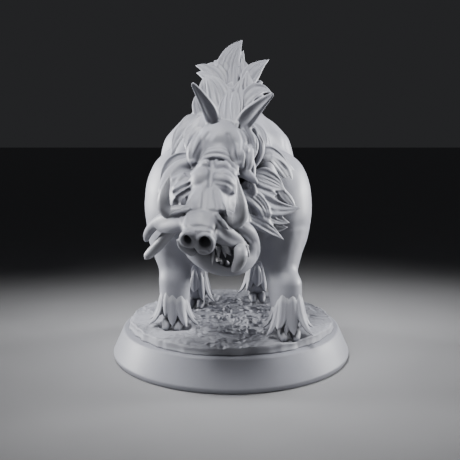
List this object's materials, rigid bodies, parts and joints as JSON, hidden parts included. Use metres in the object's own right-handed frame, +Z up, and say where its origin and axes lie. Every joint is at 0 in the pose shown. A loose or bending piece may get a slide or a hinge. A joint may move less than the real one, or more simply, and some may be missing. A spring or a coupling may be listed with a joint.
{
  "type": "wild boar figurine",
  "caption": "Tabletop figurine of a bristling tusked boar beast standing on a round base with sculpted muddy ground, in unpainted grey resin.",
  "frame": {"origin": "middle of the round base's flat underside", "axes": "+Z up; -Y is the way the boar faces; +X is the boar's left side"},
  "size_m": [0.05, 0.0626, 0.0664],
  "materials": {
    "resin_rim": "smooth matt cured resin, even and slightly satin on the rounded shoulder",
    "resin_ground": "matt cured resin, sculpted as trodden mud with ruts and small stones",
    "resin_tusk": "smooth matt cured resin",
    "resin_hoof": "smooth matt cured resin",
    "resin_eye": "smooth matt cured resin",
    "resin_hair": "matt cured resin, sculpted in grooved locks",
    "resin_hide": "matt cured resin, smooth over the muscles and finely wrinkled on the face"
  },
  "bodies": {
    "root": {"base_rim": "resin_rim", "ear_left": "resin_hide", "ear_right": "resin_hide", "eye_left": "resin_eye", "eye_right": "resin_eye", "fetlock_front_left": "resin_hair", "fetlock_front_right": "resin_hair", "fetlock_hind_left": "resin_hair", "fetlock_hind_right": "resin_hair", "ground": "resin_ground", "head": "resin_hide", "hoof_front_left": "resin_hoof", "hoof_front_right": "resin_hoof", "hoof_hind_left": "resin_hoof", "hoof_hind_right": "resin_hoof", "leg_front_left": "resin_hide", "leg_front_right": "resin_hide", "leg_hind_left": "resin_hide", "leg_hind_right": "resin_hide", "lower_jaw": "resin_hide", "mane_front": "resin_hair", "mane_middle": "resin_hair", "mane_rear": "resin_hair", "neck": "resin_hide", "ruff_left": "resin_hair", "ruff_right": "resin_hair", "snout": "resin_hide", "tail": "resin_hide", "tail_tuft": "resin_hair", "trunk": "resin_hide", "tusk_lower_left": "resin_tusk", "tusk_lower_right": "resin_tusk", "tusk_upper_left": "resin_tusk", "tusk_upper_right": "resin_tusk"}
  },
  "joints": []
}
